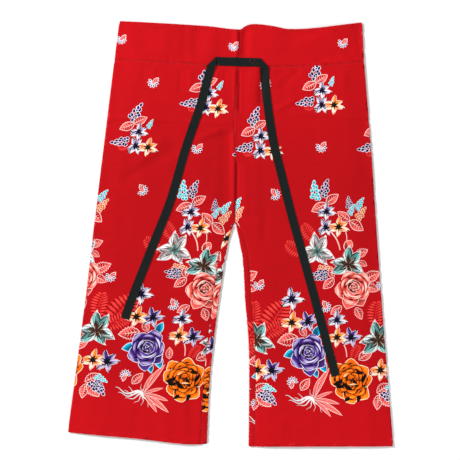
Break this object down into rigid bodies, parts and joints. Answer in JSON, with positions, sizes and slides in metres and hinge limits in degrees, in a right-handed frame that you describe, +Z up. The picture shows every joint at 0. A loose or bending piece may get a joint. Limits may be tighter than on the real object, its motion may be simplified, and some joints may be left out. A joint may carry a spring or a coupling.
{
  "type": "thai fisherman pants",
  "caption": "Wide printed cotton wrap pants laid flat, with a deep waist yoke and a black tape tie sewn at the centre back, its tails lying over the legs.",
  "frame": {"origin": "bottom centre of the bounding box, on the surface that the pants lie on", "axes": "+Y from the hems to the waist, +X to the viewer's right with the back upwards, +Z up"},
  "size_m": [0.767, 1.002, 0.0087],
  "materials": {
    "printed_cotton": "matte plain weave cotton with a flower print",
    "black_tape": "matte woven cotton tape"
  },
  "bodies": {
    "root": {"leg_left": "printed_cotton", "leg_right": "printed_cotton", "waistband_left": "printed_cotton", "waistband_right": "printed_cotton", "tie": "black_tape"}
  },
  "joints": []
}
